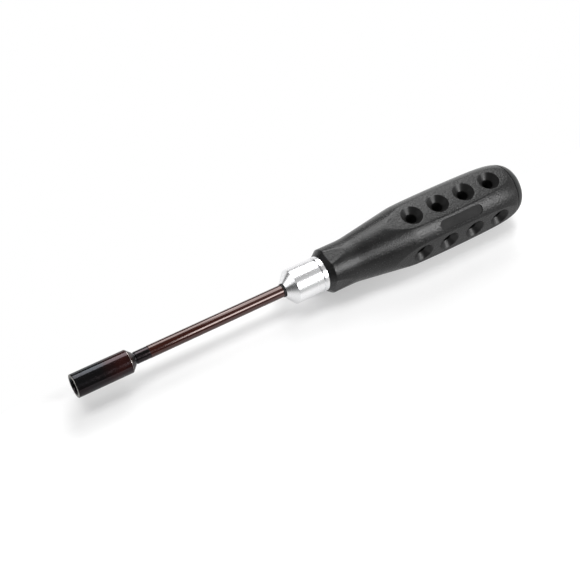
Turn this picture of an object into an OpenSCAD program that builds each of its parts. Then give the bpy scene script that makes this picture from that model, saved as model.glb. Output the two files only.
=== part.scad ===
// Nut driver: a socket blade in an aluminium nose, on a moulded four-sided grip.
// The tool's axis is X. The mouth of the socket is at X = 0 and the butt points to +X.
// Z is up when the tool lies on one of the four flats of its grip.

/* [Socket] */
// Nut size across its flats
nut_af = 5.5; // [4.5:0.1:6]
// Room between the nut and the hexagon, across the flats
nut_room = 0.08; // [0.02:0.01:0.2]
// Outside diameter of the socket
socket_d = 9; // [8.4:0.1:12]
// Length of the socket up to its rear cone
socket_l = 21.4; // [18:0.1:30]
// Depth of the hexagon from the mouth
hex_depth = 8; // [4:0.5:12]
// Width of the round lead-in outside the corners of the hexagon
lead_in = 0.28; // [0.05:0.01:0.3]
// Chamfer on the outer edges of the socket
socket_chamfer = 0.15; // [0.05:0.01:0.3]
// Diameter of the bore that clears the stud behind the nut
stud_bore_d = 5.2; // [3.4:0.1:6]
// Solid web between the stud bore and the shaft's tenon
socket_web = 2.5; // [1:0.1:4]
// Diameter of the stem behind the socket
stem_d = 4.7; // [4:0.1:6]
// Length of the stem
stem_l = 5.4; // [3:0.1:10]
// Wall of the stem around the tenon
stem_wall = 0.75; // [0.5:0.05:1.2]
// Depth of the neck between the cone and the stem
neck_depth = 0.25; // [0.1:0.05:0.4]
// Width of the neck
neck_w = 0.5; // [0.3:0.1:1.5]

/* [Shaft] */
// Diameter of the shaft
shaft_d = 4.84; // [4:0.02:6]
// Length of shaft that shows between the stem and the nose
shaft_reach = 57; // [30:0.5:120]
// Length of shaft held inside the nose
shaft_seat = 25; // [20:0.5:32]
// Length of the tenon that is brazed into the stem
tenon_l = 8.5; // [4:0.1:10]
// Depth of the flat that the set screw bears on
drive_flat_depth = 0.42; // [0.2:0.02:0.8]
// Length of the flat, from the inner end of the shaft
drive_flat_l = 19.5; // [18:0.5:20]
// Chamfer at the inner end of the shaft
shaft_chamfer = 0.4; // [0.1:0.1:0.8]

/* [Shaft ring] */
// Thickness of the rubber ring's round section
ring_section = 0.76; // [0.5:0.02:1]
// Height by which the ring stands out of the shaft
ring_proud = 0.25; // [0.1:0.05:0.4]

/* [Nose] */
// Diameter of the nose
nose_d = 13.8; // [12.4:0.1:18]
// Width of the front face around the shaft
nose_lip = 0.55; // [0.3:0.05:1.5]
// Length of the front cone
nose_cone_l = 3.3; // [2:0.1:6]
// Length of the plain cylinder
nose_barrel_l = 9.3; // [8:0.1:14]
// Step down from the cylinder to the rear band
band_step = 0.15; // [0.05:0.01:0.4]
// Length of the rear band
band_l = 1.8; // [1:0.1:5]
// Depth of the groove in front of the flange, below the band
groove_depth = 0.25; // [0.1:0.05:0.6]
// Width of the groove
groove_w = 0.4; // [0.2:0.1:1]
// Diameter of the flange
flange_d = 14; // [13:0.1:18]
// Length of the flange
flange_l = 1.8; // [1:0.1:4]
// Size across the flats of the hexagonal tail inside the grip
tail_af = 10.5; // [9:0.1:11.5]
// Solid web between the shaft's bore and the tapped hole
nose_web = 2.8; // [1.5:0.1:5]
// Depth of the tapped hole in the tail
tap_depth = 12; // [8:0.5:16]

/* [Set screw] */
// Diameter of the set screw
screw_d = 3; // [2:0.1:4]
// Length of the set screw
screw_l = 4; // [3:0.1:4.6]
// Distance of the set screw from the front of the nose
screw_at = 8.5; // [6:0.1:10]
// Size across the flats of its hexagonal recess
screw_drive_af = 1.5; // [0.9:0.1:1.6]
// Depth of its recess
screw_drive_depth = 1.6; // [1:0.1:2]

/* [Grip] */
// Length of the grip with its end cap
grip_l = 93.5; // [92:0.1:110]
// Diameter of the front face
grip_front_d = 14.4; // [14:0.1:17]
// Length of the front chamfer
front_chamfer_l = 2.2; // [1:0.1:4]
// Diameter of the waist
waist_d = 17.8; // [16.8:0.1:20]
// Length from the front face to the start of the swell
waist_l = 12.7; // [10:0.1:16]
// Length of the swell from the waist to the barrel
swell_l = 25.6; // [20:0.1:32]
// Largest diameter of the barrel, over its ridges
barrel_d = 25.4; // [24.4:0.1:30]
// Distance of the largest diameter from the front face
crown_at = 56; // [45:0.1:65]
// Radius of the crown along the barrel
crown_r = 800; // [400:50:3000]
// Length over which the rear end rounds off
rear_round_l = 26.7; // [24:0.1:40]
// Squareness of the rear end: 2 is an ellipse, more is squarer
rear_power = 4.9; // [3:0.1:6]
// Half the length of the blends at both ends of the swell
blend_l = 2.4; // [1:0.1:4.5]
// Size across the flats of the grip
flats_af = 22.4; // [21:0.1:24]
// Size across the four short flats at the front edge of the waist
collar_af = 16.4; // [15.6:0.1:17.4]
// Slope of the short flats
collar_slope = 5.2; // [4:0.1:8]

/* [Grip holes] */
// Number of holes along each flat
holes_per_flat = 4; // [1:1:4]
// Distance between holes
hole_pitch = 12.6; // [10:0.1:12.8]
// Distance of the first hole from the front face
first_hole_at = 41.1; // [39:0.1:41.5]
// Diameter of the countersink at the flat
countersink_d = 8.9; // [6:0.1:9.4]
// Depth of the countersink
countersink_depth = 2.3; // [1.5:0.1:4]
// Diameter of the hole
hole_d = 4.5; // [3:0.1:5]
// Wall between the bottom of a hole and the core bore
hole_floor = 1.5; // [0.8:0.1:3]

/* [Pad] */
// Length of the recessed bare pad on one ridge
pad_l = 20.6; // [10:0.1:30]
// Width of the pad
pad_w = 4.3; // [2:0.1:5]
// Depth of the pad below the largest diameter
pad_depth = 0.5; // [0.3:0.05:1]
// Distance of the middle of the pad from the front face
pad_at = 59.4; // [50:0.1:66]

/* [Tie bolt] */
// Diameter of the bolt that draws the nose into the grip
bolt_d = 5; // [4:0.1:6]
// Diameter of its head
bolt_head_d = 8.5; // [7:0.1:9.6]
// Length of its head
bolt_head_l = 3.5; // [3:0.1:4]
// Size across the flats of its hexagonal recess
bolt_drive_af = 3; // [2.5:0.1:4.5]
// Depth of its recess
bolt_drive_depth = 2; // [1.5:0.1:2.4]
// Room between the tip of the bolt and the bottom of the tapped hole
bolt_tip_room = 2; // [0.5:0.1:4]
// Radial room for the bolt in the core bore
core_room = 0.25; // [0.1:0.05:0.6]
// Outside diameter of the plain washer
washer_d = 10; // [9:0.1:13]
// Thickness of the plain washer
washer_t = 1; // [0.5:0.1:1.6]
// Outside diameter of the spring washer
spring_washer_d = 8.6; // [8:0.1:10]
// Thickness of the spring washer
spring_washer_t = 1.2; // [0.8:0.1:1.6]
// Width of the split in the spring washer
spring_split = 0.5; // [0.2:0.1:1]

/* [End cap] */
// Length of the end cap outside the grip
cap_l = 5; // [3.5:0.1:6]
// Outside diameter of the plug
plug_d = 14; // [13.6:0.1:16]
// Length of the plug
plug_l = 6; // [3:0.1:7]
// Wall of the plug
plug_wall = 1.6; // [1:0.1:1.8]
// Room between the head of the bolt and the cap
head_room = 0.9; // [0.5:0.1:3]
// Chamfer on both edges of the seam
seam_chamfer = 0.25; // [0.1:0.05:0.5]

/* [Fits] */
// Radial room of a running fit
run_gap = 0.05; // [0.02:0.01:0.1]
// Radial room in the brazed joint
braze_gap = 0.02; // [0.01:0.01:0.05]
// Room on each face of the hexagonal tail
tail_gap = 0.08; // [0.02:0.02:0.2]
// Room between end faces that meet
end_gap = 0.1; // [0.05:0.05:0.3]

/* [Hidden] */

round_fn = 96;
sides = 4;
blend_steps = 5;
crown_steps = 4;
rear_steps = 7;
cap_steps = 9;
over = 1;

// Places along the axis, from the mouth of the socket to the butt
hex_af = nut_af + nut_room;
hex_d = hex_af / cos(30);
mouth_d = hex_d + 2 * lead_in;
x_neck = socket_l + (socket_d - stem_d) / 2;
x_stem = x_neck + neck_w;
x_shaft = x_stem + stem_l;
x_tenon = x_shaft - tenon_l;
stud_bore_depth = x_tenon - end_gap - socket_web;
tenon_d = stem_d - 2 * stem_wall - 2 * braze_gap;

x_nose = x_shaft + shaft_reach;
x_barrel = x_nose + nose_cone_l;
x_band = x_barrel + nose_barrel_l;
x_groove = x_band + band_l;
x_flange = x_groove + groove_w;
x_grip = x_flange + flange_l;
x_shaft_end = x_nose + shaft_seat;
x_bore_end = x_shaft_end + end_gap;
x_tap = x_bore_end + nose_web;
x_tail_end = x_tap + tap_depth;
x_screw = x_nose + screw_at;
x_drive_flat = x_shaft_end - drive_flat_l;

ring_r = shaft_d / 2 + ring_proud - ring_section / 2;
x_ring = x_nose - end_gap / 2 - ring_section / 2;
ring_groove_r = ring_r - ring_section / 2 - braze_gap;
ring_groove_w = ring_section + 2 * run_gap;
drive_flat_y = shaft_d / 2 - drive_flat_depth;
shaft_bore_d = shaft_d + 2 * run_gap;
nose_tip_d = shaft_bore_d + 2 * nose_lip;
band_d = nose_d - 2 * band_step;

x_end = x_grip + grip_l;
x_seam = x_end - cap_l;
x_swell = x_grip + waist_l;
x_swell_end = x_swell + swell_l;
x_crown = x_grip + crown_at;
x_round = x_end - rear_round_l;
core_d = bolt_d + 2 * core_room;
x_seat = x_seam - head_room - bolt_head_l - spring_washer_t - washer_t;
x_spring = x_seat + washer_t;
x_head = x_spring + spring_washer_t;
x_bolt_tip = x_tap + bolt_tip_room;
seat_d = max(plug_d, washer_d) + 2 * run_gap;

// A turned piece: each point of the outline is [radius, place along the axis]
module turned(outline) {
    rotate([0, 90, 0])
        rotate_extrude($fn = round_fn)
            polygon(outline);
}

// A round bar or bore along the axis
module bar(d, x0, x1) {
    translate([x0, 0, 0])
        rotate([0, 90, 0])
            cylinder(d = d, h = x1 - x0, $fn = round_fn);
}

// A hexagonal bar or recess along the axis
module hex_bar(af, x0, x1) {
    translate([x0, 0, 0])
        rotate([0, 90, 0])
            cylinder(d = af / cos(30), h = x1 - x0, $fn = 6);
}

// Copies around the axis, one on each side of the grip
module each_side() {
    for (side = [0 : sides - 1])
        rotate([side * 360 / sides, 0, 0])
            children();
}

// Point at length l from p on the way to q
function toward(p, q, l) = p + (q - p) * l / norm(q - p);

// Parabolic blend that rounds the corner b between a and c
function blend(a, b, c) =
    let (p = toward(b, a, blend_l), q = toward(b, c, blend_l))
    [for (i = [0 : blend_steps])
        let (t = i / blend_steps)
        p * (1 - t) * (1 - t) + b * 2 * t * (1 - t) + q * t * t];

// Radius of the barrel's crown at x, before the rear end rounds off
function crown(x) = barrel_d / 2 - (x - x_crown) * (x - x_crown) / (2 * crown_r);

// Point on the rear end at angle a, from 0 where the rounding starts to 90 at the butt
function rear_x(a) = x_round + rear_round_l * pow(sin(a), 2 / rear_power);
function rear_point(a) = [crown(rear_x(a)) * pow(cos(a), 2 / rear_power), rear_x(a)];

// Angle at which the rear rounding reaches x
function rear_angle(x) = asin(pow((x - x_round) / rear_round_l, rear_power / 2));

seam_angle = rear_angle(x_seam - seam_chamfer);
cap_angle = rear_angle(x_seam + end_gap + seam_chamfer);
seam_r = rear_point(rear_angle(x_seam))[0] - seam_chamfer;

module socket() {
    color([0.07, 0.06, 0.06])
        difference() {
            turned([
                [0, 0],
                [socket_d / 2 - socket_chamfer, 0],
                [socket_d / 2, socket_chamfer],
                [socket_d / 2, socket_l],
                [stem_d / 2, x_neck],
                [stem_d / 2 - neck_depth, x_neck],
                [stem_d / 2 - neck_depth, x_stem],
                [stem_d / 2, x_stem],
                [stem_d / 2, x_shaft],
                [0, x_shaft]
            ]);
            hex_bar(hex_af, -over, hex_depth);
            turned([
                [0, -over],
                [mouth_d / 2 + over, -over],
                [mouth_d / 2 - lead_in, lead_in],
                [0, lead_in]
            ]);
            bar(stud_bore_d, hex_depth - over, stud_bore_depth);
            bar(tenon_d + 2 * braze_gap, x_tenon - end_gap, x_shaft + over);
        }
}

module shaft() {
    color([0.24, 0.10, 0.08])
        difference() {
            turned([
                [0, x_tenon],
                [tenon_d / 2, x_tenon],
                [tenon_d / 2, x_shaft],
                [shaft_d / 2, x_shaft],
                [shaft_d / 2, x_ring - ring_groove_w / 2],
                [ring_groove_r, x_ring - ring_groove_w / 2],
                [ring_groove_r, x_ring + ring_groove_w / 2],
                [shaft_d / 2, x_ring + ring_groove_w / 2],
                [shaft_d / 2, x_shaft_end - shaft_chamfer],
                [shaft_d / 2 - shaft_chamfer, x_shaft_end],
                [0, x_shaft_end]
            ]);
            translate([x_drive_flat, drive_flat_y, -shaft_d])
                cube([drive_flat_l + over, shaft_d, 2 * shaft_d]);
        }
}

module shaft_ring() {
    color([0.05, 0.05, 0.05])
        translate([x_ring, 0, 0])
            rotate([0, 90, 0])
                rotate_extrude($fn = round_fn)
                    translate([ring_r, 0])
                        circle(d = ring_section, $fn = 48);
}

module nose() {
    color([0.86, 0.87, 0.88])
        difference() {
            union() {
                turned([
                    [0, x_nose],
                    [nose_tip_d / 2, x_nose],
                    [nose_d / 2, x_barrel],
                    [nose_d / 2, x_band],
                    [band_d / 2, x_band],
                    [band_d / 2, x_groove],
                    [band_d / 2 - groove_depth, x_groove],
                    [band_d / 2 - groove_depth, x_flange],
                    [flange_d / 2, x_flange],
                    [flange_d / 2, x_grip],
                    [0, x_grip]
                ]);
                hex_bar(tail_af, x_flange, x_tail_end);
            }
            bar(shaft_bore_d, x_nose - over, x_bore_end);
            bar(bolt_d + 2 * run_gap, x_tap, x_tail_end + over);
            translate([x_screw, 0, 0])
                rotate([-90, 0, 0])
                    cylinder(d = screw_d + 2 * run_gap, h = nose_d, $fn = round_fn);
        }
}

module set_screw() {
    color([0.10, 0.10, 0.11])
        translate([x_screw, drive_flat_y + run_gap, 0])
            rotate([-90, 0, 0])
                difference() {
                    cylinder(d = screw_d, h = screw_l, $fn = round_fn);
                    translate([0, 0, screw_l - screw_drive_depth])
                        cylinder(d = screw_drive_af / cos(30), h = screw_drive_depth + over, $fn = 6);
                }
}

// Waist, swell and barrel of the grip, up to the seam of the end cap
module grip_form() {
    waist_start = [waist_d / 2, x_grip + front_chamfer_l];
    waist_end = [waist_d / 2, x_swell];
    barrel_start = [crown(x_swell_end), x_swell_end];
    barrel_next = [crown(x_round), x_round];
    turned(concat(
        [[0, x_grip], [grip_front_d / 2, x_grip], waist_start],
        blend(waist_start, waist_end, barrel_start),
        blend(waist_end, barrel_start, barrel_next),
        [for (i = [1 : crown_steps])
            let (x = x_swell_end + blend_l + (x_round - x_swell_end - blend_l) * i / crown_steps)
            [crown(x), x]],
        [for (i = [1 : rear_steps]) rear_point(seam_angle * i / rear_steps)],
        [[seam_r, x_seam], [0, x_seam]]
    ));
}

// One countersunk blind hole, cut into the upper flat
module grip_hole() {
    flat_z = flats_af / 2;
    flare = (countersink_d - hole_d) / 2 / countersink_depth;
    rotate_extrude($fn = round_fn)
        polygon([
            [0, core_d / 2 + hole_floor],
            [hole_d / 2, core_d / 2 + hole_floor],
            [hole_d / 2, flat_z - countersink_depth],
            [countersink_d / 2 + flare * over, flat_z + over],
            [0, flat_z + over]
        ]);
}

// Outline of the recessed pad, with round ends
module pad_outline() {
    square([pad_l - pad_w, pad_w], center = true);
    for (end = [-1, 1])
        translate([end * (pad_l - pad_w) / 2, 0])
            circle(d = pad_w, $fn = 48);
}

module grip() {
    color([0.17, 0.17, 0.17])
        difference() {
            grip_form();
            each_side() {
                translate([x_grip, -barrel_d, flats_af / 2])
                    cube([grip_l, 2 * barrel_d, barrel_d]);
                translate([x_grip + front_chamfer_l, 0, collar_af / 2])
                    rotate([0, -collar_slope, 0])
                        translate([-waist_l, -waist_d, 0])
                            cube([2 * waist_l - front_chamfer_l, 2 * waist_d, waist_d]);
                for (i = [0 : holes_per_flat - 1])
                    translate([x_grip + first_hole_at + i * hole_pitch, 0, 0])
                        grip_hole();
            }
            rotate([180 / sides, 0, 0])
                translate([x_grip + pad_at, 0, barrel_d / 2 - pad_depth])
                    linear_extrude(pad_depth + over)
                        pad_outline();
            hex_bar(tail_af + 2 * tail_gap, x_grip - over, x_tail_end + end_gap);
            bar(core_d, x_tail_end, x_seam + over);
            bar(seat_d, x_seat, x_seam + over);
        }
}

module tie_bolt() {
    color([0.12, 0.12, 0.13])
        difference() {
            union() {
                bar(bolt_d, x_bolt_tip, x_head + over);
                bar(bolt_head_d, x_head, x_head + bolt_head_l);
            }
            hex_bar(bolt_drive_af, x_head + bolt_head_l - bolt_drive_depth, x_head + bolt_head_l + over);
        }
}

module washer() {
    color([0.70, 0.71, 0.72])
        difference() {
            bar(washer_d, x_seat, x_spring);
            bar(core_d, x_seat - over, x_spring + over);
        }
}

module spring_washer() {
    color([0.45, 0.46, 0.47])
        difference() {
            bar(spring_washer_d, x_spring, x_head);
            bar(core_d, x_spring - over, x_head + over);
            translate([x_spring - over, -spring_split / 2, 0])
                cube([spring_washer_t + 2 * over, spring_split, spring_washer_d]);
        }
}

module end_cap() {
    color([0.14, 0.14, 0.14])
        difference() {
            turned(concat(
                [[0, x_seam - plug_l], [plug_d / 2, x_seam - plug_l], [plug_d / 2, x_seam + end_gap]],
                [[seam_r, x_seam + end_gap]],
                [for (i = [0 : cap_steps])
                    rear_point(cap_angle + (90 - cap_angle) * i / cap_steps)]
            ));
            bar(plug_d - 2 * plug_wall, x_seam - plug_l - over, x_seam + end_gap);
        }
}

socket();
shaft();
shaft_ring();
nose();
set_screw();
grip();
tie_bolt();
washer();
spring_washer();
end_cap();
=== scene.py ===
"""A nut driver that lies on one flat of its grip: socket, shaft, nose, moulded grip and end cap."""
import math

import bmesh
import bpy
from mathutils import Matrix, Quaternion, Vector


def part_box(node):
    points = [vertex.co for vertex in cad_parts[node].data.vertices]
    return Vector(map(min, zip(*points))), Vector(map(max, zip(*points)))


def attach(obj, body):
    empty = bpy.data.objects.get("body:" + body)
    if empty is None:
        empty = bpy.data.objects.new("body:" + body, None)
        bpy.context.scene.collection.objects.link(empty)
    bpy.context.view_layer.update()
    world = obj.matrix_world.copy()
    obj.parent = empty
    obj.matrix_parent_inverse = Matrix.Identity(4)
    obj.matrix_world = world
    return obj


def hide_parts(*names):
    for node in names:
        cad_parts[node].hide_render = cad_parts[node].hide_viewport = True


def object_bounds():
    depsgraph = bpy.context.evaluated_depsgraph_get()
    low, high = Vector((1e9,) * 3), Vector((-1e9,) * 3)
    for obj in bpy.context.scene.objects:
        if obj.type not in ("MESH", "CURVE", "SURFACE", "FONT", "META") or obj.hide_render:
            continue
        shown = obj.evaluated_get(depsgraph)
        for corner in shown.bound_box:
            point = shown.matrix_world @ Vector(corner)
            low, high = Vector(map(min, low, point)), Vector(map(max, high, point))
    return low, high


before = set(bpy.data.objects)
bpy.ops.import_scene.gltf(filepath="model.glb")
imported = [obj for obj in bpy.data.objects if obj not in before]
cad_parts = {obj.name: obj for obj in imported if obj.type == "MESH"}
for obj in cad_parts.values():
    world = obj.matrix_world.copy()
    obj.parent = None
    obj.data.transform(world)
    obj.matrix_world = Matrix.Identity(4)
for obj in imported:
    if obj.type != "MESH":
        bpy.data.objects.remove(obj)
cad_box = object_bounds()

MM = 0.001

# Places taken from the frame, in millimetres along the tool's axis


def span(node):
    """Front end, rear end and outer radius of a node, in millimetres."""
    low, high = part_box(node)
    return low.x / MM, high.x / MM, high.y / MM


_, x_shaft, socket_r = span("socket")
x_tenon, x_shaft_end, shaft_r = span("shaft")
x_ring_front, x_ring_rear, ring_outer_r = span("shaft_ring")
x_nose, x_tail_end, flange_r = span("nose")
x_grip, x_seam, flat_d = span("grip")
x_plug, x_end, _ = span("end_cap")
screw_low, screw_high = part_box("set_screw")
floor_z = cad_box[0].z

# Socket, in millimetres
HEX_APOTHEM = 2.79
HEX_DEPTH = 8.0
STUD_BORE_R = 2.6
STUD_BORE_DEPTH = 18.35
DRILL_POINT_L = 1.5
MOUTH_R = 3.5
MOUTH_LEAD = 0.3
RIM_EDGE = 0.15
RIM_L = 0.5
SOCKET_L = 21.4
REAR_EDGE_ROUND = 0.40
WORN_FROM, WORN_TO = 0.18, 0.12
STEM_R = 2.35
NECK_R = 2.1
NECK_W = 0.5
TENON_R = 1.58
TENON_BORE_R = 1.6

# Room that the CAD leaves behind the end of a piece in its bore, in millimetres
END_GAP = 0.1

# Shaft and nose, in millimetres
DRIVE_FLAT_Y = 2.0
DRIVE_FLAT_L = 19.5
SHAFT_CHAMFER = 0.4
RING_GROOVE_R = 1.89
RING_GROOVE_GAP = 0.05
NOSE_R = 6.9
NOSE_TIP_R = 3.02
NOSE_CONE_L = 3.3
NOSE_BARREL_L = 9.3
BAND_R = 6.75
BAND_L = 1.8
BAND_STEP_L = 0.08
GROOVE_R = 6.5
GROOVE_W = 0.4
SHAFT_BORE_R = 2.47
BORE_CHAMFER = 0.15
BORE_POINT_L = 1.0
TAIL_APOTHEM = 5.25
TAIL_SHOULDER = 1.2
TAP_R = 2.55
TAP_DEPTH = 12.0
SCREW_HOLE_R = 1.55
SCREW_CHAMFER = 0.15

# Grip, in millimetres; lengths are counted from its front face
GRIP_FRONT_R = 7.2
FRONT_CHAMFER_L = 2.2
WAIST_R = 8.9
WAIST_L = 12.7
SWELL_L = 25.6
BARREL_R = 12.7
CROWN_AT = 56.0
CROWN_RADIUS = 800.0
REAR_ROUND_L = 26.7
REAR_POWER = 4.9
BLEND_L = 2.4
COLLAR_D = 8.2
COLLAR_SLOPE = math.radians(5.2)
EDGE_SOFTNESS = 0.07
FLAT_BULGE = 0.15
FLATS = 4
HOLES_PER_FLAT = 4
HOLE_PITCH = 12.6
FIRST_HOLE_AT = 41.1
COUNTERSINK_R = 4.45
COUNTERSINK_DEPTH = 2.3
HOLE_R = 2.25
HOLE_BOTTOM = 4.25
PAD_AT = 59.4
PAD_L = 20.6
PAD_W = 4.3
PAD_FLOOR = 12.2
POCKET_GAP = 0.08
SEAT_R = 7.05
SEAT_DEPTH = 6.6
CORE_R = 2.75
SEAM_CHAMFER = 0.25
SEAM_GAP = 0.1
PLUG_R = 7.0
PLUG_BORE_R = 5.4

# Camera, in millimetres and degrees
CAMERA_PLACE = (-79.87, -213.22, 362.78)
CAMERA_AIM = (88.715, -1.177, 0.096)
CAMERA_ROLL = 7.805
CAMERA_LENS = 74.81

# Point that the softboxes face, in millimetres
LIGHT_AIM = (60, 0, 0)

# Tones of the table: the grey of its paint, what it is lifted by to look white, and the painted shade that
# reflections see in places
TABLE_HALF = 4.0
TABLE_GREY = 0.735
TABLE_LIFT = 0.14
PAINTED_SHADE_TONE = 0.1

# Ramps over the table: from one place to another, in metres, and the values at both
BEYOND_NOSE_X = (0.080, 0.105, 0.0, 1.0)
ALONG_GRIP_X = (0.100, 0.140, 0.0, 1.0)
ALONG_SOCKET_X = (0.060, 0.035, 0.0, 1.0)
# Painted light on the shadow beside the grip; painted shade that deepens the socket's shadow close in and
# painted light that lightens it further out
GRIP_PAINTED_LIGHT_Y = (-0.024, -0.014, -0.04, 0.11)
SOCKET_PAINTED_SHADE_AND_LIGHT_Y = (-0.016, -0.009, 0.06, -0.05)
# Behind the tool, painted white covers the lamps' shadow
BEHIND_TOOL_Y = (0.004, 0.009, 0.0, 1.0)
FAR_FROM_TOOL = (0.30, 0.60, 0.0, 1.0)
# Painted shade that only reflections see: ahead of the mouth, and as painted shadow before the grip and the
# blade
AHEAD_OF_MOUTH_X = (0.040, -0.030, 0.0, 0.8)
BEFORE_GRIP_Y = (0.004, -0.004, 0.0, 0.42)
ALONG_BLADE_X = (0.075, 0.010, 0.0, 0.5)
BEFORE_BLADE_Y = (-0.005, -0.025, 0.0, 1.0)

# Brightness of the room, from its dim left to its lighter right
ROOM_X = (0.30, 0.41, 0.10, 0.66)


# Outlines and turned meshes

HOLD = 0.1


def arc_corner(before, corner, after, radius, steps=4, reach=None):
    """Points that round one corner of an outline, over a radius or over a given reach."""
    to_before, to_after = before - corner, after - corner
    reach = reach or radius / math.tan(to_before.angle(to_after) / 2)
    reach = min(reach, 0.45 * to_before.length, 0.45 * to_after.length)
    start = corner + to_before.normalized() * reach
    end = corner + to_after.normalized() * reach
    shares = [i / steps for i in range(steps + 1)]
    return [start * (1 - t) ** 2 + corner * (2 * t * (1 - t)) + end * t * t for t in shares]


def outline(points):
    """Outline (x, radius) from corners (x, radius, rounding), with points that hold long lines straight."""
    corners = [Vector(p[:2]) for p in points]
    made = []
    for i, point in enumerate(points):
        if point[2] and 0 < i < len(points) - 1:
            made += arc_corner(corners[i - 1], corners[i], corners[i + 1], point[2])
        else:
            made.append(corners[i])
    held = made[:1]
    for start, end in zip(made, made[1:]):
        line = end - start
        if line.length > 5 * HOLD:
            held += [start + line.normalized() * HOLD, end - line.normalized() * HOLD]
        held.append(end)
    return [(p.x, p.y) for p in held]


def round_section(x, r, angle):
    return r


def hex_section(x, r, angle):
    """Hexagon with a corner at the top; r is half its size across flats."""
    return r / math.cos(angle % math.radians(60) - math.radians(30))


def drive_section(x, r, angle):
    """Round bar with a flat towards +Y."""
    side = math.sin(angle)
    return min(r, DRIVE_FLAT_Y / side) if side > 0.1 else r


def rows_of(points, section=round_section, finish=0):
    """Rows for turned() from outline points, with one section and one finish."""
    return [(x, r, section, finish) for x, r in points]


def turned(name, rows, materials, columns=144, sharp=32):
    """Closed mesh from rows (x, radius, section, finish) around the axis, from pole to pole."""
    mesh = bpy.data.meshes.new(name)
    bm = bmesh.new()
    angles = [math.tau * i / columns for i in range(columns)]
    rings = []
    for x, r, section, finish in rows:
        if r <= 0:
            rings.append([bm.verts.new((x * MM, 0, 0))])
            continue
        ring = []
        for a in angles:
            radius = section(x, r, a) * MM
            ring.append(bm.verts.new((x * MM, radius * math.sin(a), radius * math.cos(a))))
        rings.append(ring)
    for (low, high), row in zip(zip(rings, rings[1:]), rows):
        for i in range(columns):
            j = (i + 1) % columns
            corners = [low[i % len(low)], low[j % len(low)], high[j % len(high)], high[i % len(high)]]
            distinct = list(dict.fromkeys(corners))
            if len(distinct) > 2:
                bm.faces.new(distinct).material_index = row[3]
    bmesh.ops.recalc_face_normals(bm, faces=bm.faces)
    for face in bm.faces:
        face.smooth = True
    bm.to_mesh(mesh)
    bm.free()
    mesh.set_sharp_from_angle(angle=math.radians(sharp))
    for material in materials:
        mesh.materials.append(material)
    piece = bpy.data.objects.new(name, mesh)
    bpy.context.scene.collection.objects.link(piece)
    return piece


def weld_doubles(piece):
    """Close the seam of a mesh whose first and last rows lie on each other."""
    bm = bmesh.new()
    bm.from_mesh(piece.data)
    bmesh.ops.remove_doubles(bm, verts=bm.verts, dist=1e-6)
    bmesh.ops.recalc_face_normals(bm, faces=bm.faces)
    bm.to_mesh(piece.data)
    bm.free()


def stands_for(piece, node, body):
    """Let a piece ride on a body and stand for a CAD node."""
    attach(piece, body)
    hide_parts(node)


# Materials


def new_material(name):
    material = bpy.data.materials.new(name)
    material.use_nodes = True
    nodes = material.node_tree.nodes
    return material, material.node_tree, nodes["Principled BSDF"]


def add(tree, kind, settings=None, **inputs):
    """A node with its settings, and its inputs set to values or linked to sockets."""
    node = tree.nodes.new(kind)
    for key, value in (settings or {}).items():
        setattr(node, key, value)
    for key, value in inputs.items():
        socket = node.inputs[int(key[1:])] if key[0] == "i" and key[1:].isdigit() else node.inputs[key]
        if isinstance(value, bpy.types.NodeSocket):
            tree.links.new(value, socket)
        else:
            socket.default_value = value
    return node


def noise(tree, place, scale, detail=3.0):
    return add(tree, "ShaderNodeTexNoise", Vector=place, Scale=scale, Detail=detail).outputs[0]


def combine(tree, operation, first, second):
    return add(tree, "ShaderNodeMath", {"operation": operation}, i0=first, i1=second).outputs[0]


def remap(tree, value, low, high, out_low, out_high):
    node = add(tree, "ShaderNodeMapRange", i0=value, i1=low, i2=high, i3=out_low, i4=out_high)
    return node.outputs[0]


def blend_colours(tree, share, first, second):
    node = add(tree, "ShaderNodeMix", {"data_type": "RGBA"}, i0=share, i6=first, i7=second)
    return node.outputs[2]


def object_place(tree):
    return add(tree, "ShaderNodeTexCoord").outputs["Object"]


def moulded_plastic(name, dark, light, smooth, rough, relief):
    """Charcoal plastic with the grain of its mould, from smooth to spark-eroded."""
    material, tree, shader = new_material(name)
    place = object_place(tree)
    grain = noise(tree, place, 1750.0, 2.0)
    cloud = noise(tree, place, 160.0, 2.0)
    tone = remap(tree, cloud, 0.35, 0.65, 0.0, 1.0)
    tree.links.new(blend_colours(tree, tone, dark, light), shader.inputs["Base Color"])
    tree.links.new(remap(tree, grain, 0.3, 0.7, smooth, rough), shader.inputs["Roughness"])
    bump = add(tree, "ShaderNodeBump", Height=grain, Strength=relief, Distance=0.00018)
    tree.links.new(bump.outputs[0], shader.inputs["Normal"])
    shader.inputs["IOR"].default_value = 1.40
    return material


def black_oxide():
    """Blackened steel: near black, with a red-brown heat tint towards the rear of the socket."""
    material, tree, shader = new_material("black_oxide_steel")
    place = object_place(tree)
    along = add(tree, "ShaderNodeSeparateXYZ", Vector=place).outputs["X"]
    patch = noise(tree, place, 180.0, 2.0)
    warming = remap(tree, along, 0.010, 0.020, 0.0, 1.0)
    stem_black = remap(tree, along, 0.0213, 0.0225, 1.0, 0.0)
    heat = combine(tree, "MULTIPLY", warming, stem_black)
    patchy = combine(tree, "MULTIPLY", heat, patch)
    colour = blend_colours(tree, patchy, (0.003, 0.003, 0.003, 1), (0.034, 0.006, 0.004, 1))
    tree.links.new(colour, shader.inputs["Base Color"])
    fine = noise(tree, place, 900.0, 3.0)
    tree.links.new(remap(tree, fine, 0.3, 0.7, 0.11, 0.16), shader.inputs["Roughness"])
    tints = remap(tree, noise(tree, place, 110.0, 0.0), 0.35, 0.65, 0.0, 1.0)
    tint = blend_colours(tree, tints, (0.62, 0.86, 1.0, 1), (1.0, 0.78, 0.85, 1))
    tree.links.new(tint, shader.inputs["Specular Tint"])
    shader.inputs["IOR"].default_value = 1.43
    return material


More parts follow.
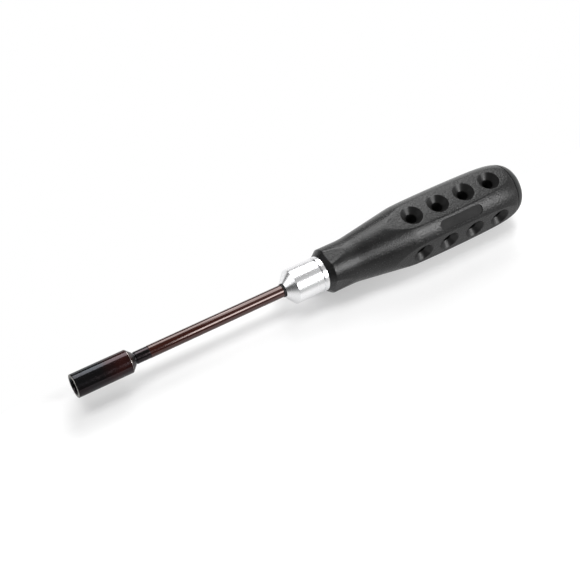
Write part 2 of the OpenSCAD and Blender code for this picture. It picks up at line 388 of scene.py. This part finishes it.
def bare_steel():
    """Bright ground steel on the rim of the mouth."""
    material, tree, shader = new_material("bare_rim_steel")
    place = object_place(tree)
    fine = noise(tree, place, 1500.0, 2.0)
    tree.links.new(remap(tree, fine, 0.3, 0.7, 0.22, 0.34), shader.inputs["Roughness"])
    colour = blend_colours(tree, fine, (0.32, 0.31, 0.29, 1), (0.46, 0.44, 0.41, 1))
    tree.links.new(colour, shader.inputs["Base Color"])
    shader.inputs["Metallic"].default_value = 1.0
    return material


def brown_coating():
    """Glossy red-brown coating, hard and clear on top, on the ground shaft."""
    material, tree, shader = new_material("brown_coated_steel")
    place = object_place(tree)
    stretched = add(tree, "ShaderNodeMapping", Vector=place, Scale=(0.15, 1.0, 1.0)).outputs[0]
    streak = noise(tree, stretched, 1400.0, 3.0)
    colour = blend_colours(tree, streak, (0.022, 0.004, 0.002, 1), (0.034, 0.008, 0.005, 1))
    tree.links.new(colour, shader.inputs["Base Color"])
    tree.links.new(remap(tree, streak, 0.3, 0.7, 0.07, 0.11), shader.inputs["Roughness"])
    shader.inputs["IOR"].default_value = 1.66
    shader.inputs["Specular Tint"].default_value = (1.0, 0.82, 0.78, 1)
    return material


def turned_aluminium():
    """Polished aluminium with the fine rings of the lathe tool."""
    material, tree, shader = new_material("turned_aluminium")
    place = object_place(tree)
    along = add(tree, "ShaderNodeSeparateXYZ", Vector=place).outputs["X"]
    ring_place = add(tree, "ShaderNodeCombineXYZ", X=along).outputs[0]
    rings = noise(tree, ring_place, 9000.0, 2.0)
    smudge = noise(tree, place, 240.0, 2.0)
    colour = blend_colours(tree, smudge, (0.88, 0.88, 0.89, 1), (0.93, 0.93, 0.94, 1))
    tree.links.new(colour, shader.inputs["Base Color"])
    tree.links.new(remap(tree, rings, 0.3, 0.7, 0.21, 0.28), shader.inputs["Roughness"])
    shader.inputs["Metallic"].default_value = 1.0
    bump = add(tree, "ShaderNodeBump", Height=rings, Strength=0.05, Distance=0.00001)
    tree.links.new(bump.outputs[0], shader.inputs["Normal"])
    return material


def ring_rubber():
    material, tree, shader = new_material("ring_rubber")
    place = object_place(tree)
    fine = noise(tree, place, 3000.0, 3.0)
    colour = blend_colours(tree, fine, (0.008, 0.008, 0.008, 1), (0.016, 0.016, 0.016, 1))
    tree.links.new(colour, shader.inputs["Base Color"])
    tree.links.new(remap(tree, fine, 0.3, 0.7, 0.40, 0.55), shader.inputs["Roughness"])
    return material


def fastener_steel(name, dark, light, rough):
    material, tree, shader = new_material(name)
    place = object_place(tree)
    fine = noise(tree, place, 1600.0, 3.0)
    tree.links.new(blend_colours(tree, fine, dark, light), shader.inputs["Base Color"])
    tree.links.new(remap(tree, fine, 0.3, 0.7, rough, rough + 0.12), shader.inputs["Roughness"])
    shader.inputs["Metallic"].default_value = 1.0
    return material


CHARCOAL = (0.0100, 0.0100, 0.0100, 1), (0.0140, 0.0140, 0.0140, 1)
grip_plastic = moulded_plastic("grip_plastic", *CHARCOAL, 0.21, 0.28, 0.70)
hole_plastic = moulded_plastic("hole_plastic", *CHARCOAL, 0.31, 0.37, 0.10)
pad_plastic = moulded_plastic("pad_plastic", *CHARCOAL, 0.64, 0.74, 0.20)
cap_plastic = moulded_plastic("cap_plastic", *CHARCOAL, 0.30, 0.38, 0.40)
socket_black = black_oxide()
rim_bright = bare_steel()
shaft_brown = brown_coating()
nose_bright = turned_aluminium()
seal_rubber = ring_rubber()
screw_black = fastener_steel("screw_black_steel", (0.05, 0.05, 0.055, 1), (0.09, 0.09, 0.095, 1), 0.30)
washer_zinc = fastener_steel("washer_zinc", (0.55, 0.56, 0.57, 1), (0.68, 0.68, 0.69, 1), 0.28)


# Blade: socket, shaft and rubber ring


def make_socket():
    x_neck = SOCKET_L + socket_r - STEM_R
    lead_in = MOUTH_R - HEX_APOTHEM / math.cos(math.radians(30))
    inside = rows_of([
        (STUD_BORE_DEPTH + DRILL_POINT_L, 0),
        (STUD_BORE_DEPTH, STUD_BORE_R),
        (HEX_DEPTH, STUD_BORE_R),
    ])
    inside += rows_of([(HEX_DEPTH, HEX_APOTHEM)], hex_section)

    def mouth_section(x, r, angle):
        return max(hex_section(x, HEX_APOTHEM, angle), r)

    steps = 5
    depths = [2 * lead_in * (1 - i / steps) for i in range(steps)]
    inside += rows_of([(depth, MOUTH_R - depth) for depth in depths], mouth_section)
    rim = outline([
        (MOUTH_LEAD, MOUTH_R - MOUTH_LEAD, 0),
        (0, MOUTH_R, 0.04),
        (0, socket_r - RIM_EDGE, 0.05),
        (RIM_EDGE, socket_r, 0.08),
        (RIM_L, socket_r, 0),
    ])[1:]
    body = outline([
        (RIM_L, socket_r, 0),
        (SOCKET_L, socket_r, REAR_EDGE_ROUND),
        (x_neck, STEM_R, 0.06),
        (x_neck, NECK_R, 0.05),
        (x_neck + NECK_W, NECK_R, 0.05),
        (x_neck + NECK_W, STEM_R, 0.18),
        (x_shaft, STEM_R, 0.18),
        (x_shaft, TENON_BORE_R, 0),
        (x_tenon - END_GAP, TENON_BORE_R, 0),
        (x_tenon - END_GAP, 0, 0),
    ])[1:]
    edge = next(i for i, point in enumerate(rim) if point[1] > socket_r - RIM_EDGE + 0.02)
    rows = inside + rows_of(rim[:edge], finish=1) + rows_of(rim[edge:])
    for x, r in body:
        worn = SOCKET_L - WORN_FROM < x < SOCKET_L - WORN_TO
        rows += rows_of([(x, r)], finish=int(worn))
    piece = turned("socket_head", rows, [socket_black, rim_bright])
    stands_for(piece, "socket", "blade")


def make_shaft():
    x_flat = x_shaft_end - DRIVE_FLAT_L
    groove_front, groove_rear = x_ring_front - RING_GROOVE_GAP, x_ring_rear + RING_GROOVE_GAP
    plain = outline([
        (x_tenon, 0, 0),
        (x_tenon, TENON_R, 0.1),
        (x_shaft, TENON_R, 0),
        (x_shaft, shaft_r, 0.10),
        (groove_front, shaft_r, 0.05),
        (groove_front, RING_GROOVE_R, 0),
        (groove_rear, RING_GROOVE_R, 0),
        (groove_rear, shaft_r, 0.05),
        (x_flat, shaft_r, 0),
    ])
    flatted = outline([
        (x_flat, shaft_r, 0),
        (x_shaft_end - SHAFT_CHAMFER, shaft_r, 0.1),
        (x_shaft_end, shaft_r - SHAFT_CHAMFER, 0.1),
        (x_shaft_end, 0, 0),
    ])
    piece = turned("shaft_rod", rows_of(plain) + rows_of(flatted, drive_section), [shaft_brown])
    stands_for(piece, "shaft", "blade")


def make_ring():
    middle = (x_ring_front + x_ring_rear) / 2
    section_r = (x_ring_rear - x_ring_front) / 2
    centre_r = ring_outer_r - section_r
    steps = 24
    points = []
    for i in range(steps + 1):
        turn = math.tau * i / steps
        points.append((middle - section_r * math.sin(turn), centre_r - section_r * math.cos(turn)))
    piece = turned("ring_seal", rows_of(points), [seal_rubber])
    weld_doubles(piece)
    stands_for(piece, "shaft_ring", "blade")


# Nose and set screw


def make_nose():
    x_barrel = x_nose + NOSE_CONE_L
    x_band = x_barrel + NOSE_BARREL_L
    x_groove = x_band + BAND_L
    x_flange = x_groove + GROOVE_W
    x_bore_end = x_shaft_end + END_GAP
    front = outline([
        (x_bore_end + BORE_POINT_L, 0, 0),
        (x_bore_end, SHAFT_BORE_R, 0),
        (x_nose + BORE_CHAMFER, SHAFT_BORE_R, 0.05),
        (x_nose, SHAFT_BORE_R + BORE_CHAMFER, 0.05),
        (x_nose, NOSE_TIP_R, 0.10),
        (x_barrel, NOSE_R, 0.12),
        (x_band, NOSE_R, 0.08),
        (x_band + BAND_STEP_L, BAND_R, 0.06),
        (x_groove, BAND_R, 0.06),
        (x_groove, GROOVE_R, 0.05),
        (x_flange, GROOVE_R, 0.05),
        (x_flange, flange_r, 0.18),
        (x_grip, flange_r, 0.05),
        (x_grip, TAIL_APOTHEM + TAIL_SHOULDER, 0),
    ])
    x_tap = x_tail_end - TAP_DEPTH
    tail = rows_of([(x_grip, TAIL_APOTHEM), (x_tail_end, TAIL_APOTHEM)], hex_section)
    tapped = rows_of([(x_tail_end, TAP_R), (x_tap, TAP_R), (x_tap - BORE_POINT_L, 0)])
    piece = turned("nose_turned", rows_of(front) + tail + tapped, [nose_bright], columns=192)
    cut_away(piece, screw_hole_cutter())
    stands_for(piece, "nose", "handle")


def screw_hole_cutter():
    """Cutter for the set screw's hole, from the bore of the nose out to +Y."""
    reach = 1.0
    rows = rows_of([
        (0, 0),
        (0, SCREW_HOLE_R),
        (NOSE_R - SCREW_CHAMFER, SCREW_HOLE_R),
        (NOSE_R + reach, SCREW_HOLE_R + SCREW_CHAMFER + reach),
        (NOSE_R + reach, 0),
    ])
    cutter = turned("screw_hole_cutter", rows, [nose_bright], columns=72)
    x_screw = (screw_low.x + screw_high.x) / 2
    for vertex in cutter.data.vertices:
        x, y, z = vertex.co
        vertex.co = (x_screw - y, x, z)
    return cutter


def cut_away(piece, cutter):
    """Cut one mesh from another and keep the result as a plain mesh."""
    modifier = piece.modifiers.new("cut", "BOOLEAN")
    modifier.object = cutter
    modifier.operation = "DIFFERENCE"
    modifier.solver = "EXACT"
    bpy.context.view_layer.update()
    made = piece.evaluated_get(bpy.context.evaluated_depsgraph_get())
    mesh = bpy.data.meshes.new_from_object(made)
    piece.modifiers.clear()
    piece.data = mesh
    mesh.name = piece.name
    mesh.set_sharp_from_angle(angle=math.radians(32))
    bpy.data.objects.remove(cutter)


# Grip


def crown(x):
    return BARREL_R - (x - x_grip - CROWN_AT) ** 2 / (2 * CROWN_RADIUS)


def rear_point(angle):
    """Point (x, radius) on the rounded rear end, from 0 at its start to a right angle at the butt."""
    x = x_end - REAR_ROUND_L + REAR_ROUND_L * math.sin(angle) ** (2 / REAR_POWER)
    return x, crown(x) * max(math.cos(angle), 0.0) ** (2 / REAR_POWER)


def rear_angle(x):
    return math.asin(((x - x_end + REAR_ROUND_L) / REAR_ROUND_L) ** (REAR_POWER / 2))


def spaced(low, high, count):
    return [low + (high - low) * i / count for i in range(1, count + 1)]


def grip_outline():
    """Ridge outline of the grip from its front face to the seam."""
    x_swell = x_grip + WAIST_L
    x_barrel = x_swell + SWELL_L
    x_round = x_end - REAR_ROUND_L
    waist = Vector((x_swell, WAIST_R))
    barrel = Vector((x_barrel, crown(x_barrel)))
    front_edge = Vector((x_grip + FRONT_CHAMFER_L, WAIST_R))
    swell_start = arc_corner(front_edge, waist, barrel, 0, 10, BLEND_L)
    swell_end = arc_corner(waist, barrel, Vector((x_round, crown(x_round))), 0, 10, BLEND_L)
    points = outline([
        (x_grip, GRIP_FRONT_R, 0),
        (front_edge.x, WAIST_R, 0.5),
        (front_edge.x + 1, WAIST_R, 0),
    ])
    points += [(x, WAIST_R) for x in spaced(front_edge.x + 1, swell_start[0].x, 12)]
    points += [(p.x, p.y) for p in swell_start[1:]]
    slope = swell_end[0] - swell_start[-1]
    points += [tuple(swell_start[-1] + slope * t) for t in spaced(0, 1, 34)]
    points += [(p.x, p.y) for p in swell_end[1:]]
    points += [(x, crown(x)) for x in spaced(swell_end[-1].x, x_round, 44)]
    turns = spaced(0, 1, 30)
    seam_turn = rear_angle(x_seam - SEAM_CHAMFER)
    points += [rear_point(seam_turn * t ** 1.6) for t in turns]
    return points


FLAT_EDGE_TAN = math.tan(math.acos(flat_d / BARREL_R))


def soft_min(a, b, softness):
    """The smaller of two radii, rounded where they cross."""
    share = min(max(0.5 + 0.5 * (b - a) / softness, 0.0), 1.0)
    return b + (a - b) * share - softness * share * (1 - share)


def grip_section(x, r, angle):
    """Ridge radius cut by the flats of the grip and by the short flats of its collar."""
    quarter = math.tau / FLATS
    off = (angle + quarter / 2) % quarter - quarter / 2
    flat = (flat_d - FLAT_BULGE * (math.tan(off) / FLAT_EDGE_TAN) ** 2) / math.cos(off)
    radius = soft_min(r, flat, EDGE_SOFTNESS)
    if x < x_grip + WAIST_L:
        front = x_grip + FRONT_CHAMFER_L
        collar = COLLAR_D + (x - front) * math.tan(COLLAR_SLOPE)
        radius = soft_min(radius, collar / math.cos(off), EDGE_SOFTNESS / 2)
    return radius


def hole_cutter():
    """Cutter for one countersunk blind hole in the upper flat, with a softened rim."""
    outside_r = COUNTERSINK_R + 1.2
    top = flat_d + 1.5
    profile = outline([
        (0, HOLE_BOTTOM, 0),
        (HOLE_R, HOLE_BOTTOM, 0.5),
        (HOLE_R, flat_d - COUNTERSINK_DEPTH, 0.12),
        (COUNTERSINK_R, flat_d, 0.55),
        (outside_r, flat_d + 0.05, 0),
        (outside_r, top, 0),
        (0, top, 0),
    ])
    rows = [(height, r, round_section, 0) for r, height in profile]
    cutter = turned("hole_cutter", rows, [hole_plastic], columns=72)
    for vertex in cutter.data.vertices:
        x, y, z = vertex.co
        vertex.co = (z, y, x)
    cutter.data.flip_normals()
    return cutter


def pad_cutter():
    """Cutter for the bare pad on the ridge between the upper flat and the flat towards -Y."""
    reach = (PAD_L - PAD_W) / 2
    steps = 24
    levels = ((0, 0.10), (0.10, 0.0), (0.3, 0.0), (1.5, -0.5))
    bm = bmesh.new()
    rings = []
    for rise, inset in levels:
        ring = []
        for end, turn_start in ((1, -math.pi / 2), (-1, math.pi / 2)):
            for i in range(steps + 1):
                turn = turn_start + math.pi * i / steps
                r = PAD_W / 2 - inset
                along = x_grip + PAD_AT + end * reach + r * math.cos(turn)
                ring.append(bm.verts.new((along * MM, r * math.sin(turn) * MM, (PAD_FLOOR + rise) * MM)))
        rings.append(ring)
    count = len(rings[0])
    for low, high in zip(rings, rings[1:]):
        for i in range(count):
            bm.faces.new((low[i], low[(i + 1) % count], high[(i + 1) % count], high[i]))
    bm.faces.new(rings[0])
    bm.faces.new(rings[-1])
    bmesh.ops.recalc_face_normals(bm, faces=bm.faces)
    turn = Quaternion((1, 0, 0), math.pi / FLATS).to_matrix().to_4x4()
    bmesh.ops.transform(bm, matrix=turn, verts=bm.verts)
    mesh = bpy.data.meshes.new("pad_cutter")
    mesh.materials.append(pad_plastic)
    bm.to_mesh(mesh)
    bm.free()
    cutter = bpy.data.objects.new("pad_cutter", mesh)
    bpy.context.scene.collection.objects.link(cutter)
    return cutter


def hole_tree():
    """Geometry nodes: rows of countersunk holes on every flat, and the pad, cut from the grip."""
    tree = bpy.data.node_groups.new("grip_holes", "GeometryNodeTree")
    face = tree.interface
    face.new_socket("Grip", in_out="INPUT", socket_type="NodeSocketGeometry")
    sockets = {}
    for name, kind in (("Hole cutter", "Object"), ("Pad cutter", "Object"), ("Holes per flat", "Int"),
                       ("Hole pitch", "Float"), ("First hole", "Float"), ("Flats", "Int"),
                       ("Plastic", "Material")):
        socket = face.new_socket(name, in_out="INPUT", socket_type="NodeSocket" + kind)
        sockets[name] = socket.identifier
    face.new_socket("Grip", in_out="OUTPUT", socket_type="NodeSocketGeometry")
    given = tree.nodes.new("NodeGroupInput").outputs
    step = add(tree, "ShaderNodeCombineXYZ", X=given["Hole pitch"]).outputs[0]
    start = add(tree, "ShaderNodeCombineXYZ", X=given["First hole"]).outputs[0]
    row = add(tree, "GeometryNodeMeshLine", {"mode": "OFFSET"}, Count=given["Holes per flat"],
              Offset=step, **{"Start Location": start}).outputs[0]
    cutter = add(tree, "GeometryNodeObjectInfo", Object=given["Hole cutter"], **{"As Instance": True})
    holes = add(tree, "GeometryNodeInstanceOnPoints", Points=row, Instance=cutter.outputs["Geometry"])
    sides = add(tree, "GeometryNodeMeshLine", {"mode": "OFFSET"}, Count=given["Flats"], Offset=(0, 0, 0))
    index = add(tree, "GeometryNodeInputIndex").outputs[0]
    quarter = combine(tree, "DIVIDE", math.tau, given["Flats"])
    angle = combine(tree, "MULTIPLY", index, quarter)
    turn = add(tree, "ShaderNodeCombineXYZ", X=angle).outputs[0]
    around = add(tree, "GeometryNodeInstanceOnPoints", Points=sides.outputs[0],
                 Instance=holes.outputs[0], Rotation=turn)
    pad = add(tree, "GeometryNodeObjectInfo", Object=given["Pad cutter"]).outputs["Geometry"]
    cutters = add(tree, "GeometryNodeJoinGeometry")
    tree.links.new(around.outputs[0], cutters.inputs[0])
    tree.links.new(pad, cutters.inputs[0])
    whole = add(tree, "GeometryNodeRealizeInstances", Geometry=cutters.outputs[0]).outputs[0]
    cut = add(tree, "GeometryNodeMeshBoolean", {"operation": "DIFFERENCE", "solver": "EXACT"})
    tree.links.new(given["Grip"], cut.inputs["Mesh 1"])
    tree.links.new(whole, cut.inputs["Mesh 2"])
    plain = add(tree, "GeometryNodeRealizeInstances", Geometry=cut.outputs["Mesh"]).outputs[0]
    outside = add(tree, "GeometryNodeMaterialSelection", Material=given["Plastic"]).outputs[0]
    dressed = add(tree, "GeometryNodeSetMaterial", Geometry=plain, Selection=outside,
                  Material=given["Plastic"]).outputs[0]
    tree.links.new(dressed, tree.nodes.new("NodeGroupOutput").inputs[0])
    return tree, sockets


def make_grip():
    points = grip_outline()
    front = [(x_grip, GRIP_FRONT_R)]
    outer = rows_of(points[1:], grip_section)
    seam_r = points[-1][1] - SEAM_CHAMFER
    x_seat, x_pocket = x_seam - SEAT_DEPTH, x_tail_end + END_GAP
    rear = rows_of([(x_seam, seam_r), (x_seam, SEAT_R), (x_seat, SEAT_R)])
    rear += rows_of([(x_seat, CORE_R), (x_pocket, CORE_R)])
    pocket_apothem = TAIL_APOTHEM + POCKET_GAP
    pocket = rows_of([(x_pocket, pocket_apothem), (x_grip, pocket_apothem)], hex_section)
    rows = rows_of(front) + outer + rear + pocket + rows_of(front)
    form = turned("grip_form", rows, [grip_plastic], columns=288)
    weld_doubles(form)
    cutters = [hole_cutter(), pad_cutter()]
    tree, sockets = hole_tree()
    modifier = form.modifiers.new("grip_holes", "NODES")
    modifier.node_group = tree
    values = {
        "Hole cutter": cutters[0],
        "Pad cutter": cutters[1],
        "Holes per flat": HOLES_PER_FLAT,
        "Hole pitch": HOLE_PITCH * MM,
        "First hole": (x_grip + FIRST_HOLE_AT) * MM,
        "Flats": FLATS,
        "Plastic": grip_plastic,
    }
    for name, value in values.items():
        modifier[sockets[name]] = value
    bpy.context.view_layer.update()
    made = form.evaluated_get(bpy.context.evaluated_depsgraph_get())
    mesh = bpy.data.meshes.new_from_object(made)
    mesh.name = "grip_body"
    for extra in [form] + cutters:
        bpy.data.objects.remove(extra)
    for polygon in mesh.polygons:
        polygon.use_smooth = True
    mesh.set_sharp_from_angle(angle=math.radians(32))
    piece = bpy.data.objects.new("grip_body", mesh)
    bpy.context.scene.collection.objects.link(piece)
    stands_for(piece, "grip", "handle")


def make_cap():
    x_face = x_seam + SEAM_GAP
    start = rear_angle(x_face + SEAM_CHAMFER)
    dome = [rear_point(start + (math.pi / 2 - start) * i / 40) for i in range(40)]
    cup = [(x_face, 0), (x_face, PLUG_BORE_R), (x_plug, PLUG_BORE_R)]
    cup += [(x_plug, PLUG_R), (x_face, PLUG_R)]
    rim = [(x_face, dome[0][1] - SEAM_CHAMFER)]
    piece = turned("cap_dome", rows_of(cup + rim + dome + [(x_end, 0)]), [cap_plastic], columns=192)
    stands_for(piece, "end_cap", "end_cap")


make_socket()
make_shaft()
make_ring()
make_nose()
make_grip()
make_cap()
for node, finish in (("set_screw", screw_black), ("tie_bolt", screw_black),
                     ("washer", washer_zinc), ("spring_washer", washer_zinc)):
    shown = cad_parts[node]
    shown.data.materials.clear()
    shown.data.materials.append(finish)


# Camera, floor and light


def make_camera():
    data = bpy.data.cameras.new("photo_camera")
    data.lens = CAMERA_LENS
    data.sensor_width = 36.0
    data.clip_start = 0.01
    data.clip_end = 20.0
    camera = bpy.data.objects.new("photo_camera", data)
    bpy.context.scene.collection.objects.link(camera)
    place, aim = Vector(CAMERA_PLACE) * MM, Vector(CAMERA_AIM) * MM
    roll = Quaternion((0, 0, 1), math.radians(CAMERA_ROLL))
    camera.rotation_mode = "QUATERNION"
    camera.rotation_quaternion = (aim - place).to_track_quat("-Z", "Y") @ roll
    camera.location = place
    bpy.context.scene.camera = camera


def white_table():
    """Matt white that keeps the tool's shadow on the near side and runs out to plain white, with painted
    light and painted shade on that shadow near the tool, and painted shade that only reflections see.
    """
    material = bpy.data.materials.new("white_table")
    material.use_nodes = True
    tree = material.node_tree
    tree.nodes.clear()
    matt = add(tree, "ShaderNodeBsdfDiffuse", Color=(TABLE_GREY, TABLE_GREY, TABLE_GREY, 1)).outputs[0]
    path = add(tree, "ShaderNodeLightPath").outputs
    camera, mirror = path["Is Camera Ray"], path["Is Glossy Ray"]
    place = object_place(tree)
    sides = add(tree, "ShaderNodeSeparateXYZ", Vector=place).outputs

    def along(ramp):
        return remap(tree, sides["X"], *ramp)

    def across(ramp):
        return remap(tree, sides["Y"], *ramp)

    def times(first, second):
        return combine(tree, "MULTIPLY", first, second)

    def larger(first, second):
        return combine(tree, "MAXIMUM", first, second)

    def plus(first, second):
        return combine(tree, "ADD", first, second)

    # The camera, and reflections in the nose and the grip, see the table lifted towards white, with painted
    # light on the shadow beside the grip and painted shade deepening the shadow by the socket
    shown_bright = larger(camera, times(mirror, along(BEYOND_NOSE_X)))
    beside_grip = along(ALONG_GRIP_X)
    painted_light_beside_grip = times(beside_grip, across(GRIP_PAINTED_LIGHT_Y))
    # Painted shade close to the socket, painted light further out
    painted_shade_and_light_by_socket = times(along(ALONG_SOCKET_X), across(SOCKET_PAINTED_SHADE_AND_LIGHT_Y))
    lift = plus(plus(painted_light_beside_grip, painted_shade_and_light_by_socket), TABLE_LIFT)
    glow = add(tree, "ShaderNodeEmission", Strength=times(shown_bright, lift)).outputs[0]
    table = add(tree, "ShaderNodeAddShader", i0=matt, i1=glow).outputs[0]

    # Far off it is plain white; behind the tool painted white covers the shadow that the lamps cast there,
    # for the camera and for reflections beyond the nose
    away = add(tree, "ShaderNodeVectorMath", {"operation": "LENGTH"}, i0=place).outputs["Value"]
    far = times(larger(camera, mirror), remap(tree, away, *FAR_FROM_TOOL))
    behind = times(shown_bright, across(BEHIND_TOOL_Y))
    white = add(tree, "ShaderNodeEmission", Strength=1.0).outputs[0]
    cleared = add(tree, "ShaderNodeMixShader", i0=larger(far, behind), i1=table, i2=white).outputs[0]

    # Reflections see painted shade on the table ahead of the mouth, and painted shadow before the grip and
    # the blade
    painted_shadow_before_grip = times(beside_grip, across(BEFORE_GRIP_Y))
    painted_shadow_before_blade = times(along(ALONG_BLADE_X), across(BEFORE_BLADE_Y))
    painted_shade_in_reflections = larger(along(AHEAD_OF_MOUTH_X), larger(painted_shadow_before_grip, painted_shadow_before_blade))
    # Painted shade: a dim glow that reflections see in place of the table
    dark = add(tree, "ShaderNodeEmission", Strength=PAINTED_SHADE_TONE).outputs[0]
    shown = add(tree, "ShaderNodeMixShader", i0=times(mirror, painted_shade_in_reflections), i1=cleared, i2=dark).outputs[0]
    add(tree, "ShaderNodeOutputMaterial", Surface=shown)
    return material


def make_floor():
    mesh = bpy.data.meshes.new("floor")
    signs = ((-1, -1), (1, -1), (1, 1), (-1, 1))
    corners = [(x * TABLE_HALF, y * TABLE_HALF, floor_z) for x, y in signs]
    mesh.from_pydata(corners, [], [(0, 1, 2, 3)])
    mesh.materials.append(white_table())
    floor = bpy.data.objects.new("floor", mesh)
    bpy.context.scene.collection.objects.link(floor)


def softbox(name, place, width, height, radiance, edge=(1, 0, 0), mirrored=True):
    """Rectangular lamp that faces the tool, its width along the given edge; radiance 1 looks white."""
    data = bpy.data.lights.new(name, "AREA")
    data.shape = "RECTANGLE"
    data.size, data.size_y = width * MM, height * MM
    data.energy = math.pi * data.size * data.size_y * radiance
    lamp = bpy.data.objects.new(name, data)
    lamp.location = Vector(place) * MM
    away = (Vector(place) - Vector(LIGHT_AIM)).normalized()
    along = (Vector(edge) - away * away.dot(Vector(edge))).normalized()
    lamp.rotation_mode = "QUATERNION"
    lamp.rotation_quaternion = Matrix((along, away.cross(along), away)).transposed().to_quaternion()
    lamp.visible_camera = False
    lamp.visible_glossy = mirrored
    bpy.context.scene.collection.objects.link(lamp)


def make_light():
    """A key softbox above, three behind, two before the tool and one off its mouth."""
    softbox("key_softbox", (-60, 175, 940), 900, 300, 5.6, mirrored=False)
    softbox("back_softbox_left", (688, 1855, 1676), 466, 1660, 5.2)
    softbox("back_softbox_right", (1075, 1570, 1945), 310, 2360, 5.2)
    softbox("back_softbox_end", (1500, 1798, 1737), 520, 1340, 5.0)
    softbox("front_softbox", (670, -890, 800), 540, 530, 10.8)
    softbox("low_softbox", (1010, -890, 480), 330, 330, 4.0)
    softbox("mouth_softbox", (-840, 400, 270), 720, 300, 1.5, edge=(0, 1, 0))


def make_room():
    """Dim room around the tool, which the camera sees as plain white."""
    world = bpy.data.worlds.new("studio")
    bpy.context.scene.world = world
    world.use_nodes = True
    tree = world.node_tree
    tree.nodes.clear()
    heading = add(tree, "ShaderNodeTexCoord").outputs["Generated"]
    right = add(tree, "ShaderNodeSeparateXYZ", Vector=heading).outputs["X"]
    room = remap(tree, right, *ROOM_X)
    camera = add(tree, "ShaderNodeLightPath").outputs["Is Camera Ray"]
    strength = combine(tree, "MAXIMUM", room, camera)
    background = add(tree, "ShaderNodeBackground", Color=(1, 1, 1, 1), Strength=strength).outputs[0]
    add(tree, "ShaderNodeOutputWorld", Surface=background)


make_camera()
make_floor()
make_light()
make_room()
bpy.context.scene.view_settings.view_transform = "Standard"
